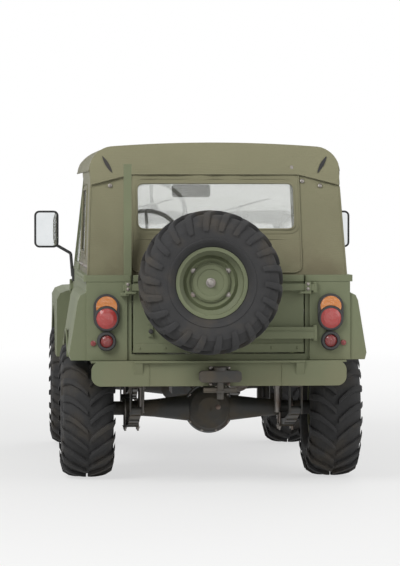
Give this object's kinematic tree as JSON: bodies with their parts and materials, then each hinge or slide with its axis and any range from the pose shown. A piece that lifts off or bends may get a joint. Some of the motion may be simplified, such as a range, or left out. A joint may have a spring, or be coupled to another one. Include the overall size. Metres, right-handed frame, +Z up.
{
  "type": "army 4x4 car",
  "caption": "Army four-by-four car with a canvas top over bows, chunky mud tyres, leaf-sprung axles and a spare wheel on its swinging rear door.",
  "frame": {"origin": "on the ground, below the middle of the car's bounding box", "axes": "+Y forward, +X to the car's right side, +Z up"},
  "size_m": [2.058, 4.1886, 2.012],
  "materials": {
    "paint": "matt olive paint",
    "rim_paint": "matt olive paint",
    "rubber": "dull black rubber",
    "canvas": "woven proofed canvas",
    "clear_vinyl": "clear flexible sheet",
    "glass": "clear glass",
    "chassis_paint": "satin black paint",
    "cast_metal": "rough cast",
    "bare_steel": "dull bare steel",
    "black_plastic": "matt moulded",
    "lamp_glass": "fluted lamp glass",
    "lens_red": "moulded red lens",
    "seat_cover": "padded leathercloth"
  },
  "bodies": {
    "chassis": {"bench_seats": "seat_cover", "body_capping": "paint", "body_sides": "paint", "canvas_top": "canvas", "canvas_windows": "clear_vinyl", "cowl": "paint", "exhaust": "bare_steel", "floor_pan": "paint", "frame": "chassis_paint", "front_axle": "chassis_paint", "front_bumper": "paint", "front_fenders": "paint", "front_lamps": "lamp_glass", "fuel_tank": "chassis_paint", "grille_panel": "paint", "hood_bows": "chassis_paint", "interior_mirror": "black_plastic", "leaf_springs": "chassis_paint", "powertrain": "cast_metal", "propeller_shafts": "chassis_paint", "rear_axle": "chassis_paint", "rear_bumper": "paint", "rear_panel": "paint", "seats": "seat_cover", "shock_absorbers": "bare_steel", "tail_lamp_lenses": "lens_red", "tail_lamp_rims": "black_plastic", "tow_pintle": "chassis_paint", "windscreen_frame": "paint", "windscreen_glass": "glass"},
    "rear_door": {"rear_door": "paint", "spare_carrier": "paint", "spare_tyre": "rubber", "spare_rim": "rim_paint"},
    "bonnet": {"bonnet": "paint"},
    "door_left": {"door_left": "paint", "door_glass_left": "glass", "mirror_left": "black_plastic"},
    "door_right": {"door_right": "paint", "door_glass_right": "glass", "mirror_right": "black_plastic"},
    "knuckle_left": {"knuckle_left": "chassis_paint"},
    "knuckle_right": {"knuckle_right": "chassis_paint"},
    "tie_rod": {"tie_rod": "chassis_paint"},
    "steering_wheel": {"steering_wheel": "black_plastic"},
    "wheel_front_left": {"tyre_front_left": "rubber", "rim_front_left": "rim_paint"},
    "wheel_front_right": {"tyre_front_right": "rubber", "rim_front_right": "rim_paint"},
    "wheel_rear_left": {"tyre_rear_left": "rubber", "rim_rear_left": "rim_paint"},
    "wheel_rear_right": {"tyre_rear_right": "rubber", "rim_rear_right": "rim_paint"}
  },
  "joints": [
    {"name": "rear_door_swing", "type": "hinge", "parent": "chassis", "child": "rear_door", "pos_m": [0.56, -1.739, 1], "axis": [0, 0, 1], "range_deg": [0, 100]},
    {"name": "bonnet_lift", "type": "hinge", "parent": "chassis", "child": "bonnet", "pos_m": [0, 0.676, 1.244], "axis": [1, 0, 0], "range_deg": [0, 55]},
    {"name": "door_left_swing", "type": "hinge", "parent": "chassis", "child": "door_left", "pos_m": [-0.783, 0.5745, 0.97], "axis": [0, 0, -1], "range_deg": [0, 70]},
    {"name": "door_right_swing", "type": "hinge", "parent": "chassis", "child": "door_right", "pos_m": [0.783, 0.5745, 0.97], "axis": [0, 0, 1], "range_deg": [0, 70]},
    {"name": "steer_left", "type": "hinge", "parent": "chassis", "child": "knuckle_left", "pos_m": [-0.612, 1.405, 0.415], "axis": [0, 0, 1], "range_deg": [-28, 28]},
    {"name": "steer_right", "type": "hinge", "parent": "chassis", "child": "knuckle_right", "pos_m": [0.612, 1.405, 0.415], "axis": [0, 0, 1], "range_deg": [-28, 28]},
    {"name": "tie_rod_swing", "type": "hinge", "parent": "knuckle_left", "child": "tie_rod", "pos_m": [-0.612, 1.565, 0.403], "axis": [0, 0, 1], "range_deg": [-28, 28]},
    {"name": "steering_wheel_turn", "type": "hinge", "parent": "chassis", "child": "steering_wheel", "pos_m": [-0.3, 0.23, 1.44], "axis": [0, -0.8043, 0.5943], "range_deg": [-505, 505]},
    {"name": "front_left_spin", "type": "hinge", "parent": "knuckle_left", "child": "wheel_front_left", "pos_m": [-0.74, 1.405, 0.415], "axis": [1, 0, 0], "continuous": true},
    {"name": "front_right_spin", "type": "hinge", "parent": "knuckle_right", "child": "wheel_front_right", "pos_m": [0.74, 1.405, 0.415], "axis": [1, 0, 0], "continuous": true},
    {"name": "rear_left_spin", "type": "hinge", "parent": "chassis", "child": "wheel_rear_left", "pos_m": [-0.74, -0.975, 0.415], "axis": [1, 0, 0], "continuous": true},
    {"name": "rear_right_spin", "type": "hinge", "parent": "chassis", "child": "wheel_rear_right", "pos_m": [0.74, -0.975, 0.415], "axis": [1, 0, 0], "continuous": true}
  ],
  "couplings": [
    {"joint": "steer_right", "follows": "steer_left", "ratio": 1},
    {"joint": "tie_rod_swing", "follows": "steer_left", "ratio": -1},
    {"joint": "steering_wheel_turn", "follows": "steer_left", "ratio": 18}
  ]
}
